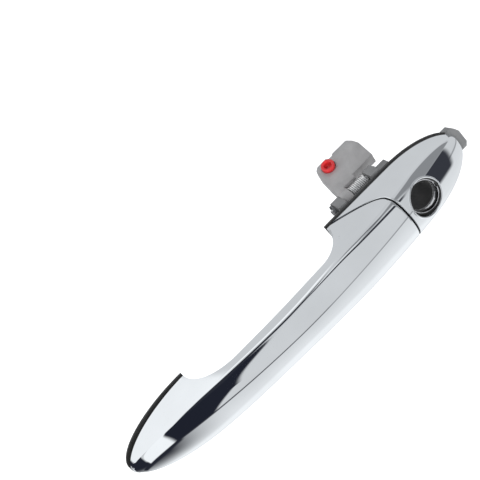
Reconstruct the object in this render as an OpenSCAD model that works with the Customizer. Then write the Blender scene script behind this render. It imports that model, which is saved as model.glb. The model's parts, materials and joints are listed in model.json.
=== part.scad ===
// Car door outside pull handle: a chrome grip hinged at its front foot, a chrome
// lock cap at the rear, and the bell crank that the grip turns behind the door skin.
// Millimetres. Y = 0 is the outer face of the door skin, -Y points out of the door,
// +X runs from the hinge foot to the lock cap, +Z is up. The origin is on the axis
// of the key cylinder bore.

/* [Grip] */
// Length of the finger gap along the door
finger_gap_l = 96; // [80:1:120]
// Length of the front foot, from the finger gap to the tip
front_foot_l = 48; // [44:1:58]
// Height of the front foot against the door
front_foot_h = 32; // [29:0.5:39]
// Height of the bar at the middle of its span, on the finger side
bar_h = 23; // [21:0.5:28]
// Distance from the door skin to the outermost face of the bar
stand_off = 31; // [29:0.5:37.5]
// Thickness of the bar at the middle of its span
bar_t = 13; // [12:0.5:15]
// Wall of the chrome shells
shell_wall = 2.2; // [1.8:0.1:2.6]
// Opening angle of the grip when it is pulled
pull_angle = 5.5; // [4:0.25:6]

/* [Lock cap] */
// Distance from the key axis to the tail of the cap
cap_tail_l = 39; // [37:0.5:44]
// Distance from the key axis to the tip of the cap
cap_nose_l = 34.5; // [32:0.5:42]
// Height of the cap against the door
cap_h = 33; // [31:0.5:39]
// Distance from the key axis to the middle of the seam with the grip
seam_l = 12.5; // [12:0.25:14]
// Gap of the seam between grip and cap
seam_gap = 0.8; // [0.5:0.1:1.2]
// Diameter of the bore for the key cylinder
key_bore_d = 15.2; // [12.6:0.2:16]
// Depth of the key sleeve's face under the crown of the cap
key_recess = 3.38; // [2.9:0.02:4.9]

/* [Door] */
// Thickness of the door skin between gaskets and bases
skin_t = 1; // [0.7:0.1:1.4]
// Thickness of the rubber gaskets
gasket_t = 1.6; // [1:0.1:2.4]
// Thickness of the plates of both bases
plate_t = 2.6; // [2:0.1:3.2]
// Minor diameter of the M6 threads for the fixing bolts
thread_d = 5.1; // [4.9:0.05:5.3]

/* [Bell crank] */
// Diameter of the bell crank's pin
crank_pin_d = 4; // [3.5:0.1:4.8]
// Height of the bell crank's pin above the key axis
crank_pin_z = 13; // [12:0.25:14]
// Distance of the bell crank's pin behind the door face
crank_pin_y = 9.5; // [8.5:0.25:11]
// Upward tilt of the long arm at rest
crank_tilt = 28; // [20:1:32]
// Length of the long arm from its pin
long_arm_l = 26; // [24:0.5:31]
// Turn of the bell crank over the full pull of the grip
crank_turn = 42; // [36:1:46]
// Wire of the torsion spring
spring_wire_d = 0.9; // [0.7:0.05:1]
// Diameter of the rod hole in the red clip
rod_d = 4; // [3.5:0.1:4.5]

/* [Hinge] */
// Diameter of the hinge pin inside the front foot
hinge_pin_d = 4; // [3.4:0.1:4.4]
// Distance of the hinge axis from the tip of the grip
hinge_from_tip = 15; // [14:0.5:20]
// Distance of the hinge axis outside the door face
hinge_out = 5.6; // [5.2:0.1:6.2]

/* [Hidden] */
$fn = 64;

// Clearances
touch = 0.05;
loose = 0.3;
run_fit = 0.04;
grip_lift = 0.6;

// Places along X
tail_x = -cap_tail_l;
nose_x = cap_nose_l;
gap_to_tail = 3.5;
gap_end_x = tail_x - gap_to_tail;
gap_start_x = gap_end_x - finger_gap_l;
tip_x = gap_start_x - front_foot_l;
form_l = nose_x - tip_x;
tip_taper_end = 2;
front_full_x = gap_start_x - tip_taper_end;
nose_taper_l = 36;
rear_full_x = nose_x - nose_taper_l;
mid_x = (gap_start_x + gap_end_x) / 2;
crown_front_x = mid_x + 0.3 * finger_gap_l;
crown_rear_x = mid_x;
fillet_front_l = 24;
fillet_rear_l = 15;
hinge_x = tip_x + hinge_from_tip;

// Places along Y, counted outwards from the door face
cap_base_y = gasket_t;
grip_base_y = gasket_t + grip_lift;
foot_relief = hinge_from_tip * sin(pull_angle);
gap_y = stand_off - bar_t;

// Outer form: shares of the half height and of the stand-off that the crease keeps
crease_z_front = 0.62;
crease_z_rear = 0.8;
crease_y_front = 0.84;
crease_y_rear = 0.7;
crown_n = 2.1;
seam_bow = 1.5;
crease_at = 0.5;

// Bell crank
crank_r = 5;
crank_from_tail = 13.4;
crank_w = 5;
crank_x0 = tail_x + crank_from_tail;
crank_x1 = crank_x0 + crank_w;
ear_t = 5;
front_ear_x = crank_x0 - loose - ear_t;
spring_x0 = crank_x1 + loose;
spring_l = 10.8;
spring_x1 = spring_x0 + spring_l;
rear_ear_x = spring_x1 + loose;
short_arm_w = 5;
short_arm_half = crank_turn / 2;
hook_lever_x = (crank_x0 + crank_x1) / 2;
hook_travel = (hook_lever_x - hinge_x) * sin(pull_angle);
short_arm_r = hook_travel / (2 * sin(short_arm_half));
hook_gap = 0.6;
boss_proud = 0.15;
tip_y = crank_pin_y + short_arm_r * sin(short_arm_half);
tip_z = crank_pin_z - short_arm_r * cos(short_arm_half);
hook_y = tip_y + short_arm_w / 2 + hook_gap;
bush_wall = 1;
pin_head_r = crank_pin_d / 2 + 1;
clip_x = crank_x0 + 8.4;
clip_r = long_arm_l - 6.6;
clip_d = 7;

// Spring on the crank's pin
spring_r = crank_pin_d / 2 + 1.6;
spring_turns = 10;
spring_steps = 16;
wire_sides = 6;

// Long arm of the crank: its plate, the block beyond the spring, and their pockets
arm_half_t = 3.4;
arm_start = spring_r + spring_wire_d / 2 + loose;
fold_r = long_arm_l - 5.5;
block_x0 = crank_x0 + 12.6;
block_x1 = crank_x0 + 27;
block_start = 6.4;
block_drop = arm_half_t;
notch_depth = 2;
clip_seat = 1.5;
clip_head_t = 2.6;
weight_r = 4.2;
weight_l = 5.5;

// Grip: finger-side liner, core behind it, and the arm that swings inwards of the crank
liner_t = 2;
liner_half = bar_h / 2 - shell_wall - 0.4;
liner_end_y = grip_base_y + shell_wall + 1;
core_t = 3.6;
core_half_max = 6.5;
shell_room = 0.8;
foot_plate_x = hinge_x + 8;
stem_t = 4.5;
stem_swing = (hook_y + hinge_out) * sin(pull_angle);
stem_x1 = crank_x0 - stem_swing - loose;
stem_x0 = stem_x1 - stem_t;
hook_x1 = crank_x1 + 0.5;
arm_h = 9;
arm_z0 = tip_z - arm_h / 2;
arm_root_y = 15;
hook_t = 4;
pad_t = 1.6;
pad_z1 = tip_z + 0.5;

// Hinge in the front foot
hinge_ear_r = 3.8;
hinge_ear_z0 = 3.7;
hinge_ear_z1 = 5.5;
tongue_half = hinge_ear_z0 - loose;
tongue_half_l = hinge_ear_r + 0.8;

// Bases
plate_y0 = skin_t;
plate_y1 = plate_y0 + plate_t;
key_face_y = crown_y(0) - key_recess;
sleeve_l = 5.5;
sleeve_wall = 0.8;
sleeve_notch = 1.8;
sleeve_r = key_bore_d / 2 + sleeve_wall;
seal_r = sleeve_r + 0.8;
barrel_wall = 2;
barrel_r = key_bore_d / 2 + barrel_wall;
barrel_back_y = 9;
barrel_front_y = key_face_y - sleeve_l;
lock_screw_y = 6.5;
lock_head_r = 2.7;
lock_head_h = 2;
window_z0 = arm_z0 - 1.5;
window_z1 = 8;
window_x0 = stem_x0 - 2;
window_x1 = crank_x1 + 1.5;
insert_wall = 1.6;
insert_l = 8;
insert_r = thread_d / 2 + insert_wall;
insert_boss = 1.2;
front_insert_x = gap_start_x - 17;
rear_insert_x = nose_x - 10.5;
lug_h = 13;
lug_x1 = nose_x + 3;
screw_d = 3;
screw_head_r = 2.8;
screw_head_t = 1.4;
grip_screw_x = [gap_start_x + fillet_front_l + 4, gap_end_x - fillet_rear_l - 4];
cap_screw_z = 6;
cap_screw_x = nose_x - 18.5;
cap_boss_r = 2.6;
cap_boss_y = 0.76 * crown_y(cap_screw_x);
base_boss_y = 6;
stop_x = gap_start_x - 7;
stop_z = 9;
stop_r = 2;

// A quarter of a superellipse: 1 at u = 0, falling to 0 at u = 1
function quarter(u, n) = pow(1 - pow(min(1, max(0, u)), n), 1 / n);
function smooth(t) = let (c = min(1, max(0, t))) c * c * (3 - 2 * c);
function mix(a, b, t) = a + (b - a) * t;

// Half height of the whole handle's footprint at x, before the sides lean in
waist_z = bar_h / 2 / (1 - (1 - crease_share_z(mid_x)) * gap_y / crease_y(mid_x));
function foot_z(x) =
    x < front_full_x
        ? front_foot_h / 2 * quarter((front_full_x - x) / (front_full_x - tip_x), 2)
    : x > rear_full_x
        ? cap_h / 2 * quarter((x - rear_full_x) / (nose_x - rear_full_x), 2)
    : x < mid_x
        ? mix(front_foot_h / 2, waist_z, smooth((x - front_full_x) / (mid_x - front_full_x)))
    : mix(waist_z, cap_h / 2, smooth((x - mid_x) / (tail_x - mid_x)));

// How far the crown of the outer face stands from the door at x
function crown_y(x) = stand_off
    * quarter((crown_front_x - x) / (crown_front_x - tip_x), 2)
    * quarter((x - crown_rear_x) / (nose_x - crown_rear_x), 2);

function along(x) = (x - tip_x) / form_l;
function crease_share_z(x) = mix(crease_z_front, crease_z_rear, along(x));
function crease_y(x) = crown_y(x) * mix(crease_y_front, crease_y_rear, along(x));

// Inner edge of the sides: the door line at the feet, the finger gap between them
function edge_y(x, base_y) =
    x >= gap_end_x
        ? base_y
    : x <= gap_start_x
        ? base_y + foot_relief * (gap_start_x - x) / front_foot_l
    : x < gap_start_x + fillet_front_l
        ? mix(base_y, gap_y, quarter((gap_start_x + fillet_front_l - x) / fillet_front_l, 2))
    : mix(base_y, gap_y, quarter((x - gap_end_x + fillet_rear_l) / fillet_rear_l, 2));

// A point of the form. w runs from -1 at the lower edge over 0 at the crown to 1 at
// the upper edge, with the creases at +-crease_at. inset moves the surface inwards.
function form_point(x, w, base_y, inset) =
    let (a = abs(w))
    let (half = max(0.4, foot_z(x) - inset))
    let (edge = edge_y(x, base_y))
    let (cy = max(edge + 0.4, crease_y(x) - 0.8 * inset))
    let (top = max(cy + 0.3, crown_y(x) - inset))
    let (cz = half * crease_share_z(x))
    let (v = (1 - a) / (1 - crease_at))
    let (side_y = mix(edge, cy, v))
    let (phi = 90 * a / crease_at)
    let (y = a >= crease_at ? side_y : mix(cy, top, pow(cos(phi), 2 / crown_n)))
    let (z = a >= crease_at
        ? mix(half, cz, min(1, side_y / cy))
        : cz * pow(sin(phi), 2 / crown_n))
    [x, -y, sign(w) * z];

// Half height of the room inside the shell at x, y outwards of the door face
function room_z(x, y) =
    let (half = foot_z(x) - shell_wall)
    let (cy = crease_y(x) - 0.8 * shell_wall)
    let (top = crown_y(x) - shell_wall)
    let (cz = half * crease_share_z(x))
    y > cy
        ? cz * quarter((y - cy) / (top - cy), crown_n)
        : mix(half, cz, y / cy);

// Half height of the core and lower end of the arm's root, both clear of the shell
core_room = min([for (p = gap_outline(liner_t + core_t)) room_z(p[0], -p[1])]);
core_half = min(core_half_max, core_room - shell_room);
arm_root_z0 = max(arm_z0, 2 * loose - room_z(stem_x1, arm_root_y));

// Where the seam between grip and cap crosses the line w
function seam_x(w) =
    let (a = abs(w))
    a < crease_at
        ? -seam_l - seam_bow * pow(a / crease_at, 2)
        : mix(-seam_l - seam_bow, tail_x, pow((a - crease_at) / (1 - crease_at), 2));

// Lines across the form, closer together on the crown than on the sides
side_lines = 5;
crown_lines = 7;
ACROSS = concat(
    [for (i = [0 : side_lines - 1]) mix(-1, -crease_at, i / side_lines)],
    [for (i = [0 : 2 * crown_lines]) mix(-crease_at, crease_at, i / (2 * crown_lines))],
    [for (i = [1 : side_lines]) mix(crease_at, 1, i / side_lines)]
);

// Rings of the grip: front nose, front fillet, bar, then the stretch up to the seam
function grip_rings(base_y, inset) =
    let (start_x = tip_x + 0.4 + 1.6 * inset)
    let (warp_x = gap_end_x - fillet_rear_l)
    let (straight = concat(
        [for (p = [0 : 10 : 80]) mix(gap_start_x, start_x, cos(p))],
        [for (p = [0 : 15 : 75]) gap_start_x + fillet_front_l * (1 - cos(p))],
        [for (i = [0 : 7]) mix(gap_start_x + fillet_front_l, warp_x, i / 8)]
    ))
    let (edge_end = tail_x - seam_gap / 2 - inset)
    let (steep = (gap_end_x - warp_x) / (edge_end - warp_x))
    let (rest = concat([for (p = [0 : 15 : 90]) steep * sin(p)], [1]))
    concat(
        [for (x = straight) [for (w = ACROSS) form_point(x, w, base_y, inset)]],
        [for (t = rest) [for (w = ACROSS)
            form_point(mix(warp_x, seam_x(w) - seam_gap / 2 - inset, t), w, base_y, inset)]]
    );

// Rings of the cap, from the seam to the tip
function cap_rings(base_y, inset) =
    let (end_x = nose_x - 0.4 - 1.6 * inset)
    [for (i = [0 : 18]) [for (w = ACROSS)
        form_point(mix(seam_x(w) + seam_gap / 2, end_x, sin(5 * i)), w, base_y, inset)]];

// A thin shell, open towards the door: outer and inner rings joined along their
// edges. closed_a and closed_b say whether the first and last ring get an end wall.
module ring_shell(outer, inner, closed_a, closed_b) {
    n = len(outer);
    m = len(outer[0]);
    points = concat([for (r = outer) each r], [for (r = inner) each r]);
    function o(i, j) = i * m + j;
    function q(i, j) = (n + i) * m + j;
    function quad(a, b, c, d) = [[a, b, c], [a, c, d]];
    half = floor((m - 1) / 2);
    skins = [for (i = [0 : n - 2]) for (j = [0 : m - 2]) each concat(
        quad(o(i, j), o(i, j + 1), o(i + 1, j + 1), o(i + 1, j)),
        quad(q(i, j), q(i + 1, j), q(i + 1, j + 1), q(i, j + 1)))];
    rims = [for (i = [0 : n - 2]) each concat(
        quad(o(i, 0), o(i + 1, 0), q(i + 1, 0), q(i, 0)),
        quad(o(i, m - 1), q(i, m - 1), q(i + 1, m - 1), o(i + 1, m - 1)))];
    function wall(i, f) = [for (j = [0 : half - 1]) each
        (j == half - 1
            ? [[i(f, j), i(f, m - 1 - j), i(f, j + 1)]]
            : quad(i(f, j), i(f, m - 1 - j), i(f, m - 2 - j), i(f, j + 1)))];
    function flip(faces) = [for (t = faces) [t[0], t[2], t[1]]];
    a_faces = closed_a
        ? concat(wall(function (i, j) o(i, j), 0), flip(wall(function (i, j) q(i, j), 0)),
            quad(o(0, 0), q(0, 0), q(0, m - 1), o(0, m - 1)))
        : [for (j = [0 : m - 2]) each quad(o(0, j), q(0, j), q(0, j + 1), o(0, j + 1))];
    b_faces = closed_b
        ? concat(flip(wall(function (i, j) o(i, j), n - 1)), wall(function (i, j) q(i, j), n - 1),
            quad(o(n - 1, 0), o(n - 1, m - 1), q(n - 1, m - 1), q(n - 1, 0)))
        : [for (j = [0 : m - 2]) each
            quad(o(n - 1, j), o(n - 1, j + 1), q(n - 1, j + 1), q(n - 1, j))];
    polyhedron(points, concat(skins, rims, a_faces, b_faces));
}

module at_hinge() translate([hinge_x, -hinge_out, 0]) children();
module at_crank(x = 0) translate([x, crank_pin_y, crank_pin_z]) children();
module along_x(x, l) translate([x, 0, 0]) rotate([0, 90, 0]) linear_extrude(l) children();
module along_y(y, l) translate([0, y, 0]) rotate([-90, 0, 0]) linear_extrude(l) children();
module slab(x0, x1, y0, y1, z0, z1) translate([x0, y0, z0]) cube([x1 - x0, y1 - y0, z1 - z0]);

// ---------------------------------------------------------------- grip

module grip_shell() color("silver")
    difference() {
        ring_shell(grip_rings(grip_base_y, 0), grip_rings(grip_base_y, shell_wall), true, true);
        slab(stem_x0 - loose, stem_x1 + loose, -arm_root_y + 1, 0,
            arm_z0 - loose, arm_z0 + arm_h + loose);
    }

// Outline of the finger gap in the XY plane, grown by k on its curved side
function gap_outline(k) = concat(
    [for (p = [0 : 9 : 90])
        [gap_start_x + fillet_front_l - (fillet_front_l + k) * cos(p),
            -grip_base_y - (gap_y - grip_base_y + k) * sin(p)]],
    [for (p = [90 : -9 : 0])
        [gap_end_x - fillet_rear_l + (fillet_rear_l + k) * cos(p),
            -grip_base_y - (gap_y - grip_base_y + k) * sin(p)]]
);

// A layer that follows the finger side of the bar and the door side of the front
// foot, from k0 to k1 inside the surface
module finger_layer(k0, k1, half) translate([0, 0, -half]) {
    foot_end_x = gap_start_x - (k0 + k1) / 2;
    linear_extrude(2 * half) difference() {
        polygon(gap_outline(k1));
        polygon(gap_outline(k0));
        translate([gap_end_x - 1, -liner_end_y]) square([10, 10]);
        if (k0 > 0) translate([gap_start_x - k1 - 1, -grip_base_y - k0 - loose]) square([k1 + 1, 10]);
    }
    linear_extrude(2 * half) polygon([
        for (p = [[foot_plate_x, k0], [foot_end_x, k0], [foot_end_x, k1], [foot_plate_x, k1]])
            [p[0], -edge_y(p[0], grip_base_y) - p[1]]
    ]);
}

module grip_liner() color("dimgray") difference() {
    finger_layer(0, liner_t, liner_half);
    grip_screw_holes(screw_d / 2 + 0.2);
    for (x = grip_screw_x) translate([x, 0, 0])
        along_y(-gap_y - screw_head_t - 0.2, 5) circle(screw_head_r + 0.2);
}

module grip_screw_holes(r)
    for (x = grip_screw_x) translate([x, 0, 0])
        along_y(-gap_y - liner_t - core_t - 2, core_t + liner_t + 4) circle(r);

module grip_ear(s) mirror([0, 0, s < 0 ? 1 : 0]) {
    at_hinge() translate([0, 0, hinge_ear_z0])
        cylinder(r = hinge_ear_r, h = hinge_ear_z1 - hinge_ear_z0);
    slab(hinge_x, foot_plate_x + 1, -edge_y(foot_plate_x, grip_base_y) - liner_t - core_t,
        -edge_y(foot_plate_x, grip_base_y) - liner_t, hinge_ear_z0, hinge_ear_z1);
}

module pull_arm() {
    slab(stem_x0, stem_x1, -arm_root_y + 1 + loose, hook_y + pad_t + hook_t, arm_z0, arm_z0 + arm_h);
    slab(stem_x0, hook_x1, hook_y + pad_t, hook_y + pad_t + hook_t, arm_z0, arm_z0 + arm_h);
}

module grip_core() color("slategray") difference() {
    union() {
        finger_layer(liner_t, liner_t + core_t, core_half);
        slab(gap_end_x + liner_t, stem_x1, -arm_root_y, -arm_root_y + stem_t, arm_root_z0, core_half);
        for (s = [-1, 1]) grip_ear(s);
        pull_arm();
    }
    at_hinge() translate([0, 0, -hinge_ear_z1 - 1])
        cylinder(r = hinge_pin_d / 2, h = 2 * hinge_ear_z1 + 2);
    grip_screw_holes(screw_d / 2 - 0.2);
}

module grip_screws() color("gray")
    for (x = grip_screw_x) translate([x, 0, 0]) {
        along_y(-gap_y - screw_head_t - 0.1, screw_head_t) circle(screw_head_r);
        along_y(-gap_y - liner_t - core_t + 0.5, liner_t + core_t - 0.5 - screw_head_t)
            circle(screw_d / 2 - 0.2 - touch);
    }

module hinge_pin() color("silver") at_hinge() translate([0, 0, -hinge_ear_z1])
    cylinder(r = hinge_pin_d / 2, h = 2 * hinge_ear_z1);

module arm_pad() color("ivory")
    slab(stem_x1, hook_x1, hook_y, hook_y + pad_t, arm_z0 + 1, pad_z1);

// ---------------------------------------------------------------- rear base and cap

module key_hole(r, y0, y1) along_y(-y1, y1 - y0) circle(r);

module at_cap_screws() for (s = [-1, 1]) translate([cap_screw_x, 0, s * cap_screw_z]) children();

module cap() color("silver") difference() {
    union() {
        ring_shell(cap_rings(cap_base_y, 0), cap_rings(cap_base_y, shell_wall), false, true);
        at_cap_screws() along_y(-cap_boss_y, cap_boss_y - base_boss_y - touch) circle(cap_boss_r);
    }
    key_hole(seal_r + touch, cap_base_y + 3, stand_off);
    at_cap_screws() along_y(-cap_boss_y + 1.4, cap_boss_y) circle(screw_d / 2 + touch);
}

// The footprint of the handle between x0 and x1, grown by k, seen along Y
module footprint(x0, x1, k) {
    steps = 40;
    xs = [for (i = [0 : steps]) mix(x0, x1, (1 - cos(180 * i / steps)) / 2)];
    polygon(concat(
        [for (x = xs) [x, max(0.5, foot_z(x) + k)]],
        [for (i = [steps : -1 : 0]) [xs[i], -max(0.5, foot_z(xs[i]) + k)]]
    ));
}
module plate(y, t) translate([0, y, 0]) rotate([-90, 0, 0]) linear_extrude(t) children();

module arm_window() translate([window_x0, -window_z1])
    square([window_x1 - window_x0, window_z1 - window_z0]);

module end_lug(clear) {
    half = lug_h / 2 + clear;
    polygon([
        [nose_x - 7 - clear, -half], [lug_x1 - 3 + clear, -half], [lug_x1 + clear, -half + 4],
        [lug_x1 + clear, half - 2], [lug_x1 - 1.5 + clear, half], [nose_x - 7 - clear, half]
    ]);
}

module rear_gasket() color("black") plate(-gasket_t, gasket_t) difference() {
    footprint(gap_end_x, nose_x - 0.1, 0.35);
    circle(barrel_r + loose);
    arm_window();
    end_lug(touch);
    for (s = [-1, 1]) translate([cap_screw_x, s * cap_screw_z]) circle(cap_boss_r + 0.2);
}

module crank_ear(x, t) difference() {
    union() {
        at_crank() along_x(x, t) circle(crank_r - 0.6);
        slab(x, x + t, plate_y0, crank_pin_y, crank_pin_z - crank_r + 0.6, crank_pin_z + crank_r - 0.6);
    }
    at_crank() along_x(x - 1, t + 2) circle(crank_pin_d / 2);
}

module rear_base() color("gray") difference() {
    union() {
        plate(plate_y0, plate_t) difference() {
            footprint(gap_end_x + 2, nose_x - 3, -1.5);
            arm_window();
        }
        plate(-gasket_t, gasket_t + plate_y1) end_lug(0);
        key_hole(barrel_r, -barrel_back_y, barrel_front_y);
        crank_ear(front_ear_x, ear_t);
        crank_ear(rear_ear_x, ear_t);
        slab(rear_ear_x + ear_t, rear_ear_x + ear_t + 6, plate_y0, crank_pin_y - pin_head_r - loose,
            crank_pin_z - 4, crank_pin_z + 3.5);
        translate([rear_insert_x, 0, 0])
            along_y(plate_y0, insert_l) circle(insert_r + insert_boss);
        at_cap_screws() along_y(-base_boss_y, base_boss_y + plate_y1) circle(cap_boss_r);
    }
    key_hole(key_bore_d / 2, -barrel_back_y - 1, stand_off);
    translate([rear_insert_x, 0, 0]) along_y(plate_y0 - 1, insert_l + 2) circle(insert_r);
    at_cap_screws() along_y(-base_boss_y - 1, base_boss_y + plate_y1 + 2)
        circle(screw_d / 2 + touch);
    translate([0, lock_screw_y, -2 * barrel_r]) cylinder(r = screw_d / 2 + touch, h = 2 * barrel_r);
}
module lock_sleeve() color("silver") difference() {
    key_hole(sleeve_r, barrel_front_y + touch, key_face_y);
    key_hole(key_bore_d / 2 + 0.2, 0, stand_off);
    slab(key_bore_d / 2 - 2, sleeve_r + 1, -stand_off, -key_face_y + sleeve_notch,
        -sleeve_notch / 1.4, sleeve_notch / 1.4);
}

module sleeve_seal() color("black") difference() {
    key_hole(seal_r, barrel_front_y + touch, key_face_y + 0.4);
    key_hole(sleeve_r, 0, stand_off);
}

module lock_screw() color("gray") translate([0, lock_screw_y, -barrel_r - touch]) {
    translate([0, 0, -touch]) cylinder(r = screw_d / 2, h = barrel_wall - loose);
    translate([0, 0, -lock_head_h]) cylinder(r = lock_head_r, h = lock_head_h);
}

module cap_screws() color("gray") at_cap_screws() {
    along_y(-cap_boss_y + 2, cap_boss_y - 2 + plate_y1) circle(screw_d / 2);
    along_y(plate_y1, 1.8) circle(screw_head_r);
}

module insert_at(x) translate([x, 0, 0]) along_y(plate_y0, insert_l) difference() {
    circle(insert_r);
    circle(thread_d / 2);
}
module threaded_inserts() color("goldenrod") {
    insert_at(front_insert_x);
    insert_at(rear_insert_x);
}

// ---------------------------------------------------------------- front base

module lug_window(clear) translate([hinge_x, 0])
    square([2 * tongue_half_l + 2 * clear, 2 * hinge_ear_z1 + 2 * clear], center = true);

module front_gasket() color("black") plate(-gasket_t, gasket_t) difference() {
    footprint(tip_x + 0.1, gap_start_x, 0.35);
    lug_window(1);
    for (s = [-1, 1]) translate([stop_x, s * stop_z]) circle(stop_r + touch);
}

module front_base() color("gray") difference() {
    union() {
        plate(plate_y0, plate_t) footprint(tip_x + 5, gap_start_x - 3, -2.5);
        at_hinge() translate([0, 0, -tongue_half])
            cylinder(r = tongue_half_l, h = 2 * tongue_half);
        slab(hinge_x - tongue_half_l, hinge_x + tongue_half_l, -hinge_out, plate_y1,
            -tongue_half, tongue_half);
        translate([front_insert_x, 0, 0])
            along_y(plate_y0, insert_l) circle(insert_r + insert_boss);
    }
    at_hinge() translate([0, 0, -tongue_half - 1])
        cylinder(r = hinge_pin_d / 2 + run_fit + bush_wall, h = 2 * tongue_half + 2);
    translate([front_insert_x, 0, 0]) along_y(plate_y0 - 1, insert_l + 2) circle(insert_r);
}

module hinge_bush() color("ivory") at_hinge() translate([0, 0, -tongue_half])
    linear_extrude(2 * tongue_half) difference() {
        circle(hinge_pin_d / 2 + run_fit + bush_wall);
        circle(hinge_pin_d / 2 + run_fit);
    }

module bump_stops() color("black")
    for (s = [-1, 1]) translate([stop_x, 0, s * stop_z])
        along_y(-gasket_t - grip_lift + loose, gasket_t + grip_lift - loose) circle(stop_r);

// ---------------------------------------------------------------- bell crank

module crank_pin() color("silver") at_crank() {
    along_x(front_ear_x - 2.5, rear_ear_x + ear_t - front_ear_x + 2.5) circle(crank_pin_d / 2);
    along_x(rear_ear_x + ear_t, 1.2) circle(pin_head_r);
}

module pin_clip() color("dimgray") at_crank() along_x(front_ear_x - 1.4, 1) difference() {
    circle(crank_pin_d / 2 + 1.8);
    circle(crank_pin_d / 2);
    translate([0, -1.1]) square([10, 2.2]);
}

// A ring of points round the wire of the torsion spring, at step i of the coil
function spring_ring(i) =
    let (turn = 360 * i / spring_steps)
    let (pitch = (spring_x1 - spring_x0 - spring_wire_d) / spring_turns)
    let (x = spring_x0 + spring_wire_d / 2 + pitch * i / spring_steps)
    [for (k = [0 : wire_sides - 1])
        let (around = 360 * k / wire_sides)
        let (r = spring_r + spring_wire_d / 2 * cos(around))
        [x + spring_wire_d / 2 * sin(around),
            crank_pin_y + r * cos(turn), crank_pin_z + r * sin(turn)]];

module torsion_spring() color("silver") {
    n = spring_turns * spring_steps;
    m = wire_sides;
    points = [for (i = [0 : n]) each spring_ring(i)];
    sides = [for (i = [0 : n - 1]) for (k = [0 : m - 1])
        let (a = m * i + k, b = m * i + (k + 1) % m)
        each [[a, a + m, b + m], [a, b + m, b]]];
    ends = [[for (k = [0 : m - 1]) k], [for (k = [m - 1 : -1 : 0]) m * n + k]];
    polyhedron(points, concat(sides, ends));
}

// Top view of the long arm: a plate that carries the clip, and a block beyond the
// spring that carries the weight. x is the place along the pin, y the radius.
module crank_outline() polygon([
    [crank_x0, 0], [crank_x0 + 0.6, 0.43 * long_arm_l], [crank_x0 + 1.6, long_arm_l - 6.5],
    [crank_x0 + 3.2, long_arm_l - 2.2], [crank_x0 + 5.4, long_arm_l],
    [block_x0 - 1.6, long_arm_l], [block_x0 - 0.6, long_arm_l - notch_depth],
    [block_x0 + 1.8, long_arm_l - notch_depth], [block_x0 + 2.2, long_arm_l - 0.8],
    [block_x1 - 2.6, long_arm_l - 1], [block_x1, long_arm_l - 9], [block_x1 - 0.6, block_start],
    [block_x0, block_start], [block_x0, arm_start], [crank_x1, arm_start], [crank_x1, 0]
]);

// Side view of the long arm: the far end slopes down from the fold
module crank_side(drop) polygon([
    [0, arm_half_t], [fold_r, arm_half_t], [long_arm_l + 1, 0],
    [long_arm_l + 1, -drop + 3], [long_arm_l - 3, -drop], [0, -drop]
]);

module long_arm() {
    intersection() {
        translate([0, 0, -block_drop - 1]) linear_extrude(block_drop + arm_half_t + 2) crank_outline();
        union() {
            along_x_side(crank_x0 - 1, block_x0 + 1, arm_half_t);
            along_x_side(block_x0, block_x1 + 1, block_drop);
        }
    }
}
module along_x_side(x0, x1, drop) translate([x0, 0, 0]) rotate([90, 0, 90])
    linear_extrude(x1 - x0) crank_side(drop);

module bell_crank() color("darkgray") at_crank() difference() {
    union() {
        along_x(crank_x0 - boss_proud, crank_x1 - crank_x0 + 2 * boss_proud) circle(crank_r);
        rotate([crank_tilt, 0, 0]) long_arm();
        rotate([short_arm_half, 0, 0]) {
            slab(crank_x0, crank_x1, -short_arm_w / 2 + 0.4, short_arm_w / 2 - 0.4,
                -short_arm_r, 0);
            translate([0, 0, -short_arm_r])
                along_x(crank_x0, crank_x1 - crank_x0) circle(short_arm_w / 2);
        }
    }
    along_x(crank_x0 - 1, crank_x1 - crank_x0 + 2) circle(crank_pin_d / 2 + run_fit + bush_wall);
    rotate([crank_tilt, 0, 0]) {
        translate([clip_x, clip_r, -20]) cylinder(r = clip_d / 2 - 1, h = 40);
        translate([clip_x, clip_r, arm_half_t - clip_seat]) cylinder(r = clip_d / 2 + loose, h = 10);
        weight_pocket(1);
    }
}

module weight_pocket(clear)
    translate([(block_x0 + block_x1) / 2, (block_start + long_arm_l) / 2 - 2, -block_drop - clear])
        cylinder(r = weight_r, h = weight_l + clear);

module counterweight() color("dimgray") at_crank() rotate([crank_tilt, 0, 0]) weight_pocket(0);

module crank_bush() color("ivory") at_crank() along_x(crank_x0, crank_x1 - crank_x0) difference() {
    circle(crank_pin_d / 2 + run_fit + bush_wall);
    circle(crank_pin_d / 2 + run_fit);
}

module rod_clip() color("tomato") at_crank() rotate([crank_tilt, 0, 0])
    translate([clip_x, clip_r, 0]) difference() {
        union() {
            translate([0, 0, -arm_half_t - clip_seat])
                cylinder(r = clip_d / 2 - 1 - run_fit, h = 2 * arm_half_t + clip_seat);
            translate([0, 0, arm_half_t - clip_seat + loose]) cylinder(r = clip_d / 2, h = clip_head_t);
        }
        translate([0, 0, -20]) cylinder(r = rod_d / 2, h = 40);
    }

grip_shell();
grip_liner();
grip_core();
grip_screws();
hinge_bush();
arm_pad();
cap();
rear_base();
rear_gasket();
lock_sleeve();
sleeve_seal();
lock_screw();
cap_screws();
front_base();
front_gasket();
hinge_pin();
threaded_inserts();
bump_stops();
crank_pin();
pin_clip();
torsion_spring();
bell_crank();
crank_bush();
counterweight();
rod_clip();
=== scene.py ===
"""Looks of the car door pull handle: chrome shells, the grey bell crank behind them, and the studio.

Lengths of the form are in millimetres, as in the CAD source, and become metres when a mesh is made.
"""
import json
import math

import bmesh
import bpy
import numpy as np
from mathutils import Matrix, Vector


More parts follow.
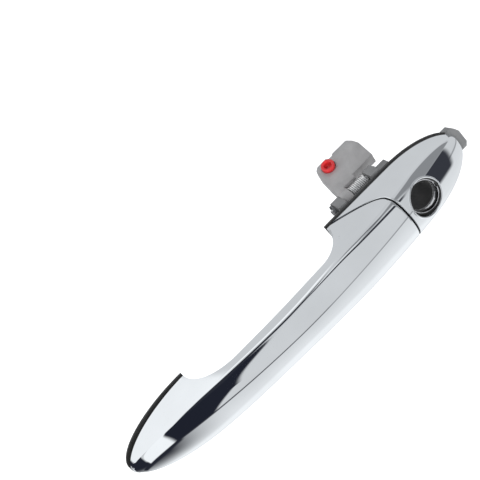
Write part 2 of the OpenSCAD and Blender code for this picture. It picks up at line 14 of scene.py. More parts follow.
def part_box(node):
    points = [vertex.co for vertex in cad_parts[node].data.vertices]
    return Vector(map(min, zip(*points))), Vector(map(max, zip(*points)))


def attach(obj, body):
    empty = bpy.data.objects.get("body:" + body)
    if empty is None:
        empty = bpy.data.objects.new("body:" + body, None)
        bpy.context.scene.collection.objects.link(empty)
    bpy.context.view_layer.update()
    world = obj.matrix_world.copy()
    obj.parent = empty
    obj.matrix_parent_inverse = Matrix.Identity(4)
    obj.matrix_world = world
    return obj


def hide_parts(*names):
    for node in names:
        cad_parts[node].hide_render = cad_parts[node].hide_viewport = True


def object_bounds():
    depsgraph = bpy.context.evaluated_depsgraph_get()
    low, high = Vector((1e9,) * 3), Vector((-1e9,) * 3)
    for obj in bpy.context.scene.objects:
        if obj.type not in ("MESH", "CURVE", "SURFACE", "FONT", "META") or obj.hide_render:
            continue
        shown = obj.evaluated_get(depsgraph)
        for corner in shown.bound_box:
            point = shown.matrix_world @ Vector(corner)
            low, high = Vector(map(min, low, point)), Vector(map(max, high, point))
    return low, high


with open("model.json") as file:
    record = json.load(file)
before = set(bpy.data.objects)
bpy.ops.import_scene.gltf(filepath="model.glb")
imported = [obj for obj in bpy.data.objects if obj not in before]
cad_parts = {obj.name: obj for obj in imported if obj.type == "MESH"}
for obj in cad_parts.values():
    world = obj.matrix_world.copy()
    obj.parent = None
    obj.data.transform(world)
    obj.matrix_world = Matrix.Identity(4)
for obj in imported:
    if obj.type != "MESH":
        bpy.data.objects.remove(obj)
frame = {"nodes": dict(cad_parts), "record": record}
CAD_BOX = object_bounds()
MM = 0.001
MOUNTS = {m["name"]: m for m in frame["record"]["mounts"]}
KEY_BORE_R = MOUNTS["key_bore"]["dims"]["r_mm"]
BODIES = frame["record"]["behaviour"]["bodies"]
BODY_OF = {node: body for body, nodes in BODIES.items() for node in nodes}


def box_mm(node):
    """Lowest and highest corner of a CAD node, in millimetres."""
    low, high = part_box(node)
    return np.array(low) / MM, np.array(high) / MM


# ---------------------------------------------------------------- the outer form

END_GAP = 0.4  # the skins stop short of the form's two points by this
END_LEAN = 1.6  # and an inner skin by this much more for each millimetre of its depth
TIP_X = box_mm("grip_shell")[0][0] - END_GAP
NOSE_X = box_mm("cap")[1][0] + END_GAP
TAIL_X = -39.0
FRONT_FOOT_L = 48.0
FRONT_FOOT_H = 32.0
CAP_H = 33.0
BAR_H = 23.0
STAND_OFF = 31.0
GAP_Y = 18.0
GAP_TO_TAIL = 3.5
NOSE_L = 36.0
GAP_START_X = TIP_X + FRONT_FOOT_L
GAP_END_X = TAIL_X - GAP_TO_TAIL
FORM_L = NOSE_X - TIP_X
FRONT_FULL_X = GAP_START_X - 2
REAR_FULL_X = NOSE_X - NOSE_L
MID_X = (GAP_START_X + GAP_END_X) / 2
CROWN_FRONT_X = MID_X + 0.3 * (GAP_END_X - GAP_START_X)
CROWN_REAR_X = MID_X
FILLET_FRONT_L = 24.0
FILLET_REAR_L = 15.0
FOOT_RELIEF = 1.44
GRIP_BASE_Y = 2.2
CAP_BASE_Y = 1.6
SEAM_L = 12.5
SEAM_BOW = 1.5
SEAM_GAP = 0.8
WALL = 2.2
CREASE_AT = 0.5  # w of the two creases; w is 0 on the crown and 1 at the edge
CREASE_ROUND = 0.035
CREASE_SHARE_Z = (0.62, 0.8)  # height of the crease over the half height, at the tip and at the nose
CREASE_SHARE_Y = (0.84, 0.7)  # distance of the crease from the door over the crown's, likewise
CROWN_N = 2.1
# an inner skin keeps at least this half height, side and crown where the form is thin
LEAST_HALF = 0.4
LEAST_SIDE = 0.4
LEAST_CROWN = 0.3
INSET_AT_CREASE = 0.8
LIP_R = 0.45
LIP_STEPS = np.linspace(0.2, 1, 5)


def quarter(u):
    """A quarter of an ellipse: 1 at u = 0, falling to 0 at u = 1."""
    return np.sqrt(1 - np.clip(u, 0, 1) ** 2)


def smooth(t):
    """0 to 1 with level ends."""
    c = np.clip(t, 0, 1)
    return c * c * (3 - 2 * c)


def mix(a, b, t):
    """From a at t = 0 to b at t = 1."""
    return a + (b - a) * t


def crown_y(x):
    """How far the crown stands from the door at x."""
    front = quarter((CROWN_FRONT_X - x) / (CROWN_FRONT_X - TIP_X))
    rear = quarter((x - CROWN_REAR_X) / (NOSE_X - CROWN_REAR_X))
    return STAND_OFF * front * rear


def crease_share_z(x):
    """Height of the crease as a share of the section's half height."""
    return mix(*CREASE_SHARE_Z, (x - TIP_X) / FORM_L)


def crease_y(x):
    """How far the crease stands from the door at x."""
    return crown_y(x) * mix(*CREASE_SHARE_Y, (x - TIP_X) / FORM_L)


WAIST_Z = BAR_H / 2 / (1 - (1 - crease_share_z(MID_X)) * GAP_Y / crease_y(MID_X))


def foot_z(x):
    """Half height of the footprint at x, before the sides lean in."""
    front = FRONT_FOOT_H / 2 * quarter((FRONT_FULL_X - x) / (FRONT_FULL_X - TIP_X))
    rear = CAP_H / 2 * quarter((x - REAR_FULL_X) / (NOSE_X - REAR_FULL_X))
    to_waist = mix(FRONT_FOOT_H / 2, WAIST_Z, smooth((x - FRONT_FULL_X) / (MID_X - FRONT_FULL_X)))
    from_waist = mix(WAIST_Z, CAP_H / 2, smooth((x - MID_X) / (TAIL_X - MID_X)))
    middle = np.where(x < MID_X, to_waist, from_waist)
    return np.where(x < FRONT_FULL_X, front, np.where(x > REAR_FULL_X, rear, middle))


def edge_y(x, base_y):
    """Inner edge of the sides: the door line at the feet, the finger gap between them."""
    foot = base_y + FOOT_RELIEF * np.clip((GAP_START_X - x) / FRONT_FOOT_L, 0, 1)
    front = mix(base_y, GAP_Y, quarter((GAP_START_X + FILLET_FRONT_L - x) / FILLET_FRONT_L))
    rear = mix(base_y, GAP_Y, quarter((x - GAP_END_X + FILLET_REAR_L) / FILLET_REAR_L))
    bar = np.where(x < GAP_START_X + FILLET_FRONT_L, front, rear)
    return np.where(x >= GAP_END_X, base_y, np.where(x <= GAP_START_X, foot, bar))


def raw_point(x, a, base_y, inset):
    """(outward distance, height) on the upper half of a section; a runs from the crown to the edge."""
    half = np.maximum(LEAST_HALF, foot_z(x) - inset)
    edge = edge_y(x, base_y)
    crease = np.maximum(edge + LEAST_SIDE, crease_y(x) - INSET_AT_CREASE * inset)
    top = np.maximum(crease + LEAST_CROWN, crown_y(x) - inset)
    crease_z = half * crease_share_z(x)
    side_y = mix(edge, crease, (1 - a) / (1 - CREASE_AT))
    side_z = mix(half, crease_z, np.minimum(1, side_y / crease))
    phi = np.pi / 2 * np.clip(a / CREASE_AT, 0, 1)
    on_crown = a < CREASE_AT
    y = np.where(on_crown, mix(crease, top, np.cos(phi) ** (2 / CROWN_N)), side_y)
    z = np.where(on_crown, crease_z * np.sin(phi) ** (2 / CROWN_N), side_z)
    return y, z


def form_point(x, w, base_y, inset=0.0):
    """A point of the form. w runs from -1 at the lower edge over 0 at the crown to 1 at the upper edge.
    The creases at +-CREASE_AT are rounded by a short parabola."""
    a = np.abs(w)
    y, z = raw_point(x, a, base_y, inset)
    start, stop = CREASE_AT - CREASE_ROUND, CREASE_AT + CREASE_ROUND
    s = np.clip((a - start) / (stop - start), 0, 1)
    inside = (s > 0) & (s < 1)
    ends = [raw_point(x, 0 * a + v, base_y, inset) for v in (start, CREASE_AT, stop)]
    weights = ((1 - s) ** 2, 2 * s * (1 - s), s ** 2)
    y = np.where(inside, sum(k * e[0] for k, e in zip(weights, ends)), y)
    z = np.where(inside, sum(k * e[1] for k, e in zip(weights, ends)), z)
    return np.stack([x + 0 * a, -y, np.sign(w) * z], axis=-1)


def seam_x(w):
    """Where the seam between grip and cap crosses the line w."""
    a = np.abs(w)
    crown = -SEAM_L - SEAM_BOW * (a / CREASE_AT) ** 2
    share = (np.clip(a - CREASE_AT, 0, None) / (1 - CREASE_AT)) ** 2
    return np.where(a < CREASE_AT, crown, mix(-SEAM_L - SEAM_BOW, TAIL_X, share))


def lines_across(side=26, crease=8, crown=60):
    """w values of the lines that run along the form, dense at the creases."""
    low = np.linspace(-1, -CREASE_AT - CREASE_ROUND, side, endpoint=False)
    bend = np.linspace(-CREASE_AT - CREASE_ROUND, -CREASE_AT + CREASE_ROUND, crease, endpoint=False)
    top = np.linspace(-CREASE_AT + CREASE_ROUND, CREASE_AT - CREASE_ROUND, crown)
    return np.concatenate([low, bend, top, -bend[::-1], -low[::-1]])


def grid_mesh(name, outer, inner, closed_start):
    """A closed shell from an outer and an inner grid of points (rings by lines, millimetres).
    The outer face takes the first material and all the rest the second. The last ring is closed
    by a wall, and the first one too where closed_start says so."""
    n, m = outer.shape[:2]
    mesh = bmesh.new()
    rows = [[[mesh.verts.new(p * MM) for p in ring] for ring in skin] for skin in (outer, inner)]
    o, q = rows

    def face(corners, slot=1, flip=False):
        mesh.faces.new(corners[::-1] if flip else corners).material_index = slot

    for i in range(n - 1):
        for j in range(m - 1):
            face([o[i][j], o[i][j + 1], o[i + 1][j + 1], o[i + 1][j]], 0)
            face([q[i][j], q[i + 1][j], q[i + 1][j + 1], q[i][j + 1]])
        face([o[i][0], o[i + 1][0], q[i + 1][0], q[i][0]])
        face([o[i][m - 1], q[i][m - 1], q[i + 1][m - 1], o[i + 1][m - 1]])
    for closed, i, flip in ((closed_start, 0, False), (True, n - 1, True)):
        if closed:
            # each skin's ring is closed across, and the rims meet along the open side
            for ring, turn in ((o[i], flip), (q[i], not flip)):
                for j in range((m - 1) // 2):
                    corners = [ring[j], ring[m - 1 - j], ring[m - 2 - j], ring[j + 1]]
                    face(list(dict.fromkeys(corners)), flip=turn)
            face([o[i][0], q[i][0], q[i][m - 1], o[i][m - 1]], flip=flip)
        else:
            for j in range(m - 1):
                face([o[i][j], q[i][j], q[i][j + 1], o[i][j + 1]], flip=flip)
    bmesh.ops.recalc_face_normals(mesh, faces=mesh.faces)
    data = bpy.data.meshes.new(name)
    mesh.to_mesh(data)
    mesh.free()
    return data


def add_object(name, data, body, material, replaces=()):
    """Links a mesh as a piece that rides on a body. With no material it keeps the mesh's own."""
    piece = bpy.data.objects.new(name, data)
    bpy.context.scene.collection.objects.link(piece)
    if material:
        data.materials.clear()
        data.materials.append(material)
    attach(piece, body)
    if replaces:
        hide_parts(*replaces)
    return piece


def shade(data, angle):
    """Smooth shading with sharp edges above an angle."""
    data.polygons.foreach_set("use_smooth", [True] * len(data.polygons))
    data.set_sharp_from_angle(angle=math.radians(angle))
    data.update()


def with_modifiers(data, build):
    """The mesh after the modifiers that build(object) adds."""
    helper = bpy.data.objects.new("helper", data)
    bpy.context.scene.collection.objects.link(helper)
    build(helper)
    bpy.context.view_layer.update()
    graph = bpy.context.evaluated_depsgraph_get()
    result = bpy.data.meshes.new_from_object(helper.evaluated_get(graph))
    bpy.data.objects.remove(helper)
    return result


def cut(data, cutter_data):
    """data less cutter_data."""
    cutter = bpy.data.objects.new("cutter", cutter_data)
    bpy.context.scene.collection.objects.link(cutter)

    def add(helper):
        step = helper.modifiers.new("cut", "BOOLEAN")
        step.operation = "DIFFERENCE"
        step.solver = "EXACT"
        step.object = cutter

    result = with_modifiers(data, add)
    bpy.data.objects.remove(cutter)
    return result


# ---------------------------------------------------------------- materials

class Nodes:
    """A material's node tree with short calls for the nodes that the looks use."""

    def __init__(self, name):
        self.material = bpy.data.materials.new(name)
        self.material.use_nodes = True
        self.tree = self.material.node_tree
        self.shader = self.tree.nodes["Principled BSDF"]
        self.place = self.add("ShaderNodeTexCoord").outputs["Object"]

    def add(self, kind, **values):
        node = self.tree.nodes.new(kind)
        for key, value in values.items():
            setattr(node, key, value)
        return node

    def link(self, source, target):
        self.tree.links.new(source, target)

    def set(self, **values):
        """Constant values of the shader's own sockets; an underscore stands for a blank."""
        for key, value in values.items():
            self.shader.inputs[key.replace("_", " ")].default_value = value

    def stretched(self, scale):
        node = self.add("ShaderNodeMapping")
        node.inputs["Scale"].default_value = scale
        self.link(self.place, node.inputs["Vector"])
        return node.outputs["Vector"]

    def noise(self, scale, detail=4.0, rough=0.5, stretch=None):
        node = self.add("ShaderNodeTexNoise")
        node.inputs["Scale"].default_value = scale
        node.inputs["Detail"].default_value = detail
        node.inputs["Roughness"].default_value = rough
        self.link(self.stretched(stretch) if stretch else self.place, node.inputs["Vector"])
        return node.outputs["Fac"]

    def grains(self, scale):
        node = self.add("ShaderNodeTexVoronoi", feature="SMOOTH_F1")
        node.inputs["Scale"].default_value = scale
        self.link(self.place, node.inputs["Vector"])
        return node.outputs["Distance"]

    def ramp(self, source, stops):
        node = self.add("ShaderNodeValToRGB")
        ramp = node.color_ramp
        for stop in stops[2:]:
            ramp.elements.new(stop[0])
        for element, (place, colour) in zip(ramp.elements, stops):
            element.position = place
            element.color = colour
        self.link(source, node.inputs["Fac"])
        return node.outputs["Color"]

    def span(self, source, low, high, to_low, to_high):
        node = self.add("ShaderNodeMapRange")
        ends = {"From Min": low, "From Max": high, "To Min": to_low, "To Max": to_high}
        for key, value in ends.items():
            node.inputs[key].default_value = value
        self.link(source, node.inputs["Value"])
        return node.outputs["Result"]

    def mixed(self, share, one, other, kind="RGBA", blend="MIX"):
        node = self.add("ShaderNodeMix", data_type=kind)
        if kind == "RGBA":
            node.blend_type = blend
        sockets = {s.name: s for s in node.inputs if s.enabled}
        for key, value in (("Factor", share), ("A", one), ("B", other)):
            if hasattr(value, "is_linked"):
                self.link(value, sockets[key])
            else:
                sockets[key].default_value = value
        return next(s for s in node.outputs if s.enabled)

    def added(self, one, other, factor=1.0):
        node = self.add("ShaderNodeMath", operation="MULTIPLY_ADD")
        self.link(other, node.inputs[0])
        node.inputs[1].default_value = factor
        self.link(one, node.inputs[2])
        return node.outputs[0]

    def bump(self, height, distance, strength=1.0):
        node = self.add("ShaderNodeBump")
        node.inputs["Distance"].default_value = distance
        node.inputs["Strength"].default_value = strength
        self.link(height, node.inputs["Height"])
        self.link(node.outputs["Normal"], self.shader.inputs["Normal"])

    def colour(self, source):
        self.link(source, self.shader.inputs["Base Color"])

    def roughness(self, source):
        self.link(source, self.shader.inputs["Roughness"])


def grey(level, tint=(1.0, 1.0, 1.0)):
    return tuple(level * t for t in tint) + (1.0,)


def chrome(name, tint, haze=0.03):
    """Plated plastic: mirror finish with a faint ripple of the moulding, wipe marks and dust."""
    n = Nodes(name)
    n.set(Metallic=1.0)
    cloud = n.noise(35, detail=3)
    wipe = n.noise(60, detail=5, stretch=(0.25, 1.0, 1.6))
    low = tuple(0.94 * t for t in tint) + (1.0,)
    n.colour(n.ramp(cloud, [(0.35, low), (0.7, tuple(tint) + (1.0,))]))
    n.roughness(n.span(wipe, 0.35, 0.75, haze * 0.6, haze * 1.7))
    ripple = n.noise(90, detail=1)
    n.bump(ripple, 0.000012, 0.6)
    return n.material


def cast_metal(name, level, tint=(1.0, 1.0, 1.0)):
    """Powder-coated zinc casting: fine sand grain over soft patches."""
    n = Nodes(name)
    n.set(Metallic=0.25, Specular_IOR_Level=0.45)
    sand = n.noise(2600, detail=3, rough=0.65)
    patch = n.noise(120, detail=4)
    base = n.ramp(patch, [(0.3, grey(level * 0.86, tint)), (0.75, grey(level * 1.1, tint))])
    speckle = n.ramp(sand, [(0.35, grey(0.8)), (0.65, grey(1.0))])
    coated = n.mixed(0.6, base, speckle, blend="MULTIPLY")
    n.colour(coated)
    n.roughness(n.span(sand, 0.3, 0.7, 0.42, 0.62))
    n.bump(n.added(sand, patch, 0.5), 0.00006, 0.35)
    return n.material


def grained_plastic(name, colour, grain=1400, rough=0.55):
    """Moulded plastic with an eroded grain."""
    n = Nodes(name)
    cells = n.grains(grain)
    cloud = n.noise(90, detail=3)
    dark = tuple(0.75 * c for c in colour) + (1.0,)
    n.colour(n.ramp(cloud, [(0.3, dark), (0.7, tuple(colour) + (1.0,))]))
    n.roughness(n.span(cells, 0.0, 0.6, rough - 0.12, rough + 0.1))
    n.bump(n.added(cells, n.noise(3200, detail=2), 0.4), 0.00008, 0.4)
    return n.material


def rubber(name, level=0.018):
    """Moulded rubber: near black with a pale bloom and a soft orange-peel skin."""
    n = Nodes(name)
    n.set(Specular_IOR_Level=0.35, Sheen_Weight=0.15, Sheen_Roughness=0.5)
    bloom = n.noise(70, detail=6, rough=0.6)
    n.colour(n.ramp(bloom, [(0.4, grey(level)), (0.85, grey(level * 2.6))]))
    n.roughness(n.span(bloom, 0.3, 0.8, 0.5, 0.75))
    n.bump(n.noise(1900, detail=3), 0.00005, 0.3)
    return n.material


def turned_steel(name, level, along, tint=(1.0, 1.0, 1.0), rough=0.28):
    """Bare steel with fine lines of the tool. along is the stretch of the lines."""
    n = Nodes(name)
    n.set(Metallic=1.0)
    lines = n.noise(1500, detail=3, stretch=along)
    stain = n.noise(160, detail=5)
    n.colour(n.ramp(stain, [(0.3, grey(level * 0.8, tint)), (0.7, grey(level, tint))]))
    n.roughness(n.span(lines, 0.3, 0.7, rough - 0.08, rough + 0.12))
    n.bump(lines, 0.00002, 0.4)
    return n.material


def glossy_plastic(name, colour, rough=0.3):
    """Injection-moulded clip: slightly translucent, with flow marks."""
    n = Nodes(name)
    n.set(Subsurface_Weight=0.12, Subsurface_Scale=0.0012, Specular_IOR_Level=0.55)
    flow = n.noise(260, detail=4, stretch=(1.0, 0.4, 1.0))
    dark = tuple(0.72 * c for c in colour) + (1.0,)
    base = n.ramp(flow, [(0.25, dark), (0.6, tuple(colour) + (1.0,))])
    n.colour(base)
    n.roughness(n.span(flow, 0.3, 0.7, rough - 0.06, rough + 0.12))
    n.bump(n.noise(900, detail=2), 0.00003, 0.3)
    return n.material


CHROME = chrome("chrome", (0.93, 0.95, 0.97))
SLEEVE_METAL = chrome("sleeve_nickel", (0.78, 0.78, 0.8), haze=0.14)
CASTING = cast_metal("crank_casting", 0.5, (1.0, 0.985, 0.99))
FRAME_CASTING = cast_metal("frame_casting", 0.3, (0.98, 0.99, 1.0))
# painted shade for the inside of the key bore, made with the near-black rubber look
BORE_SHADE_BLACK = rubber("bore_shade_paint", 0.004)
LINER_PLASTIC = grained_plastic("liner_plastic", (0.045, 0.047, 0.052))
CORE_PLASTIC = grained_plastic("core_plastic", (0.075, 0.08, 0.086), grain=900, rough=0.6)
IVORY = grained_plastic("acetal", (0.78, 0.74, 0.64), grain=2200, rough=0.4)
RUBBER = rubber("gasket_rubber")
PIN_STEEL = turned_steel("pin_steel", 0.72, (0.1, 2.0, 2.0))
SCREW_STEEL = turned_steel("screw_steel", 0.6, (1.0, 1.0, 1.0), rough=0.34)
CLIP_STEEL = turned_steel("clip_steel", 0.3, (1.0, 1.0, 1.0), (0.95, 0.97, 1.0), 0.4)
SPRING_STEEL = turned_steel("spring_steel", 0.95, (2.0, 0.3, 0.3), rough=0.36)
BRASS = turned_steel("insert_brass", 0.8, (1.0, 0.2, 1.0), (1.0, 0.8, 0.42), 0.3)
RED_PLASTIC = glossy_plastic("red_plastic", (0.86, 0.045, 0.05))

CAD_MATERIALS = {
    "grip_core": CORE_PLASTIC,
    "grip_liner": LINER_PLASTIC,
    "grip_screws": SCREW_STEEL,
    "hinge_pin": PIN_STEEL,
    "arm_pad": IVORY,
    "rear_base": FRAME_CASTING,
    "front_base": FRAME_CASTING,
    "rear_gasket": RUBBER,
    "front_gasket": RUBBER,
    "lock_sleeve": SLEEVE_METAL,
    "sleeve_seal": RUBBER,
    "lock_screw": SCREW_STEEL,
    "cap_screws": SCREW_STEEL,
    "threaded_inserts": BRASS,
    "bump_stops": RUBBER,
    "hinge_bush": IVORY,
    "crank_pin": PIN_STEEL,
    "pin_clip": CLIP_STEEL,
    "bell_crank": CASTING,
    "crank_bush": IVORY,
    "counterweight": CLIP_STEEL,
    "rod_clip": RED_PLASTIC,
}


# ---------------------------------------------------------------- chrome shells

def quarter_turn(steps, endpoint=False):
    """Angles from 0 to 90 degrees, in radians."""
    return np.radians(np.linspace(0, 90, steps, endpoint=endpoint))


def grip_skin(base_y, inset):
    """Rings of the grip from its nose to the seam, with a rounded lip at the seam."""
    start_x = TIP_X + END_GAP + END_LEAN * inset
    warp_x = GAP_END_X - FILLET_REAR_L
    w = lines_across()
    turn = np.cos(quarter_turn(70))
    fillet = 1 - np.cos(quarter_turn(36))
    straight = np.concatenate([
        mix(GAP_START_X, start_x, turn),
        GAP_START_X + FILLET_FRONT_L * fillet,
        np.linspace(GAP_START_X + FILLET_FRONT_L, warp_x, 40, endpoint=False),
    ])
    rings = [form_point(x, w, base_y, inset) for x in straight]
    edge_end = TAIL_X - SEAM_GAP / 2 - inset
    steep = (GAP_END_X - warp_x) / (edge_end - warp_x)
    rest = np.concatenate([
        steep * np.sin(quarter_turn(40)),
        np.linspace(steep, 1, 12),
    ])
    end = seam_x(w) - SEAM_GAP / 2 - inset
    rings += [form_point(mix(warp_x, end - LIP_R, t), w, base_y, inset) for t in rest]
    if inset == 0:
        rings += lip_rings(end, -1, w, base_y)
    else:
        rings += [form_point(end - LIP_R * (1 - t), w, base_y, inset) for t in LIP_STEPS]
    return np.array(rings)


def cap_skin(base_y, inset):
    """Rings of the cap from the seam to its nose."""
    w = lines_across()
    start = seam_x(w) + SEAM_GAP / 2
    end_x = NOSE_X - END_GAP - END_LEAN * inset
    if inset == 0:
        rings = lip_rings(start, 1, w, base_y)[::-1]
    else:
        rings = [form_point(start + LIP_R * (1 - t), w, base_y, inset) for t in LIP_STEPS[::-1]]
    for t in np.sin(quarter_turn(110, True)):
        rings.append(form_point(mix(start + LIP_R, end_x, t), w, base_y, inset))
    return np.array(rings)


def lip_rings(end, side, w, base_y):
    """Rings of a quarter round between the face and a seam wall at x = end.
    side is the direction from the wall into the skin."""
    angles = LIP_STEPS * math.pi / 2
    return [form_point(end + side * LIP_R * (1 - math.sin(a)), w, base_y, LIP_R * (1 - math.cos(a)))
            for a in angles]


def box_data(low, high):
    """A box between two corners, in millimetres."""
    mesh = bmesh.new()
    bmesh.ops.create_cube(mesh, size=1)
    centre = [(a + b) / 2 * MM for a, b in zip(low, high)]
    size = [(b - a) * MM for a, b in zip(low, high)]
    bmesh.ops.scale(mesh, vec=size, verts=mesh.verts)
    bmesh.ops.translate(mesh, vec=centre, verts=mesh.verts)
    data = bpy.data.meshes.new("box")
    mesh.to_mesh(data)
    mesh.free()
    return data


def rod_data(start, end, radius, sides=96):
    """A rod between two points, in millimetres."""
    start, end = Vector(start) * MM, Vector(end) * MM
    mesh = bmesh.new()
    bmesh.ops.create_cone(mesh, cap_ends=True, segments=sides, radius1=radius * MM,
                          radius2=radius * MM, depth=(end - start).length)
    turn = (end - start).to_track_quat("Z", "Y").to_matrix().to_4x4()
    bmesh.ops.transform(mesh, matrix=Matrix.Translation((start + end) / 2) @ turn, verts=mesh.verts)
    data = bpy.data.meshes.new("rod")
    mesh.to_mesh(data)
    mesh.free()
    return data


def face_y(x, z):
    """y of the outer face over a point of the XZ plane."""
    a = np.linspace(0, CREASE_AT, 60)
    points = form_point(np.full_like(a, x), a, CAP_BASE_Y)
    return float(np.interp(abs(z), points[:, 2], points[:, 1]))


def bead_round_hole(radius, bead_r, steps=160, sides=14):
    """A rolled rim that follows the outer face round the key hole."""
    step = 0.2
    sunk = 0.45
    mesh = bmesh.new()
    rings = []
    for i in range(steps):
        turn = 2 * math.pi * i / steps
        out = Vector((math.cos(turn), 0, math.sin(turn)))
        x, z = radius * out.x, radius * out.z
        y = face_y(x, z)
        across = Vector((step, face_y(x + step, z) - y, 0))
        up = Vector((0, face_y(x, z + step) - y, step))
        normal = up.cross(across).normalized()
        if normal.y > 0:
            normal = -normal
        side = (out - normal * out.dot(normal)).normalized()
        centre = Vector((x, y, z)) - normal * bead_r * sunk
        ring = []
        for k in range(sides):
            lean = 2 * math.pi * k / sides
            spoke = math.cos(lean) * side + math.sin(lean) * normal
            ring.append(mesh.verts.new((centre + bead_r * spoke) * MM))
        rings.append(ring)
    for i in range(steps):
        for k in range(sides):
            a, b = rings[i], rings[(i + 1) % steps]
            mesh.faces.new((a[k], a[(k + 1) % sides], b[(k + 1) % sides], b[k]))
    bmesh.ops.recalc_face_normals(mesh, faces=mesh.faces)
    data = bpy.data.meshes.new("bead")
    mesh.to_mesh(data)
    mesh.free()
    return data


def eased(data, width, segments, limit):
    """The mesh with its edges above an angle rounded."""
    def add(helper):
        step = helper.modifiers.new("ease", "BEVEL")
        step.width = width * MM
        step.segments = segments
        step.limit_method = "ANGLE"
        step.angle_limit = math.radians(limit)
        step.harden_normals = True

    return with_modifiers(data, add)


PAD_LOW = box_mm("arm_pad")[0]
STEM_L = 4.5
ARM_H = 9.0
ARM_Z0 = PAD_LOW[2] - 1
SLOT_GAP = 0.3
SLOT_DEPTH = 14.0
HOLE_R = 9.25
HOLE_Y = (-4.6, -34.0)
BEAD_R = 0.55
BEAD_OUT = 0.25


def plated_shell(name, outer, inner, closed_start, cutter):
    """A shell with chrome outside and bare plastic inside, less a cutter. The walls at the seam take
    the dark plastic too, which paints the shade in the gap between grip and cap.
    """
    data = grid_mesh(name, outer, inner, closed_start)
    for part in (data, cutter):
        part.materials.append(CHROME)
        part.materials.append(CORE_PLASTIC)
    for face in cutter.polygons:
        face.material_index = 1
    data = cut(data, cutter)
    shade(data, 40)
    return data


arm_slot = box_data((PAD_LOW[0] - STEM_L - SLOT_GAP, -SLOT_DEPTH, ARM_Z0 - SLOT_GAP),
                    (PAD_LOW[0] + SLOT_GAP, 0, ARM_Z0 + ARM_H + SLOT_GAP))
grip_data = plated_shell("grip_skin", grip_skin(GRIP_BASE_Y, 0), grip_skin(GRIP_BASE_Y, WALL), True,
                         arm_slot)
add_object("grip_shell_chrome", grip_data, "grip", None, ["grip_shell"])

key_hole = rod_data((0, HOLE_Y[0], 0), (0, HOLE_Y[1], 0), HOLE_R, 160)
cap_data = plated_shell("cap_skin", cap_skin(CAP_BASE_Y, 0), cap_skin(CAP_BASE_Y, WALL), False,
                        key_hole)
add_object("cap_chrome", cap_data, "base", None, ["cap"])
rim_data = bead_round_hole(HOLE_R + BEAD_OUT, BEAD_R)
shade(rim_data, 60)
add_object("key_hole_rim", rim_data, "base", CHROME)


# ---------------------------------------------------------------- parts behind the door skin

def cleaned(node):
    """A copy of a CAD node's mesh with its flat faces joined again."""
    mesh = bmesh.new()
    mesh.from_mesh(frame["nodes"][node].data)
    bmesh.ops.remove_doubles(mesh, verts=mesh.verts, dist=1e-6)
    flat = math.radians(0.6)
    bmesh.ops.dissolve_limit(mesh, angle_limit=flat, verts=mesh.verts, edges=mesh.edges)
    data = bpy.data.meshes.new(node)
    mesh.to_mesh(data)
    mesh.free()
    return data


def softened(node, width, finish, segments, cutters):
    """Shows a CAD node with its edges rounded and cutters taken out of it."""
    data = cleaned(node)
    for cutter in cutters:
        data = cut(data, cutter)
    data = eased(data, width, segments, 32)
    shade(data, 34)
    name = f"{node}_{finish}"
    return add_object(name, data, BODY_OF[node], CAD_MATERIALS[node], [node])


def cross_recess(centre, reach, depth, across=0.5, proud=0.2):
    """Two bars that cut a cross into a screw head that faces +Y. centre is on the face."""
    x, y, z = centre
    return [
        box_data((x - reach, y - depth, z - across), (x + reach, y + proud, z + across)),
        box_data((x - across, y - depth, z - reach), (x + across, y + proud, z + reach)),
    ]


def screw_cutters(node, reach=1.5, depth=0.9):
    """Crosses for the two screws of a node, whose heads face +Y."""
    low, high = box_mm(node)
    head_r = min(high[0] - low[0], high[2] - low[2]) / 2
    ends = [(low[0] + head_r, low[2] + head_r), (high[0] - head_r, high[2] - head_r)]
    return [bar for x, z in ends for bar in cross_recess((x, high[1], z), reach, depth)]


# node: width of the rounding, what its finish is called, segments of the rounding
FINISHES = {
    "rear_base": (0.3, "cast", 2),
    "front_base": (0.3, "cast", 2),
    "grip_core": (0.3, "moulded", 2),
    "grip_liner": (0.4, "moulded", 2),
    "arm_pad": (0.25, "moulded", 2),
    "rear_gasket": (0.25, "moulded", 2),
    "front_gasket": (0.25, "moulded", 2),
    "hinge_pin": (0.3, "turned", 3),
    "crank_pin": (0.25, "turned", 3),
    "pin_clip": (0.12, "stamped", 2),
    "lock_sleeve": (0.15, "plated", 2),
    "sleeve_seal": (0.1, "moulded", 2),
    "counterweight": (0.3, "turned", 2),
    "bump_stops": (0.4, "moulded", 3),
    "hinge_bush": (0.12, "moulded", 2),
    "crank_bush": (0.12, "moulded", 2),
    "threaded_inserts": (0.15, "turned", 2),
    "grip_screws": (0.2, "formed", 2),
    "cap_screws": (0.2, "formed", 2),
    "lock_screw": (0.2, "formed", 2),
    "bell_crank": (0.45, "cast", 3),
    "rod_clip": (0.3, "moulded", 3),
}
CROSS_HEADED = ("grip_screws", "cap_screws")

for node, (width, finish, segments) in FINISHES.items():
    crosses = screw_cutters(node) if node in CROSS_HEADED else ()
    softened(node, width, finish, segments, crosses)


def tube_data(front_y, back_y, radius, wall):
    """A thin tube round the key bore's axis, in millimetres."""
    outer = rod_data((0, front_y, 0), (0, back_y, 0), radius)
    inner = rod_data((0, front_y - 1, 0), (0, back_y + 1, 0), radius - wall)
    return cut(outer, inner)


# painted shade: a near-black liner on the barrel's wall, just inside the bore, darkens the bore where
# shade falls
BARREL_FRONT_Y = box_mm("sleeve_seal")[1][1]
BARREL_BACK_Y = 8.8
BORE_SHADE_GAP = 0.01
BORE_SHADE_T = 0.05
bore_shade_data = tube_data(BARREL_FRONT_Y, BARREL_BACK_Y, KEY_BORE_R - BORE_SHADE_GAP, BORE_SHADE_T)
shade(bore_shade_data, 40)
add_object("bore_shade_liner", bore_shade_data, "base", BORE_SHADE_BLACK)


# ---------------------------------------------------------------- torsion spring

SPRING_LOW, SPRING_HIGH = box_mm("torsion_spring")
WIRE_R = 0.45
COIL_TURNS = 10
STEPS_PER_TURN = 48


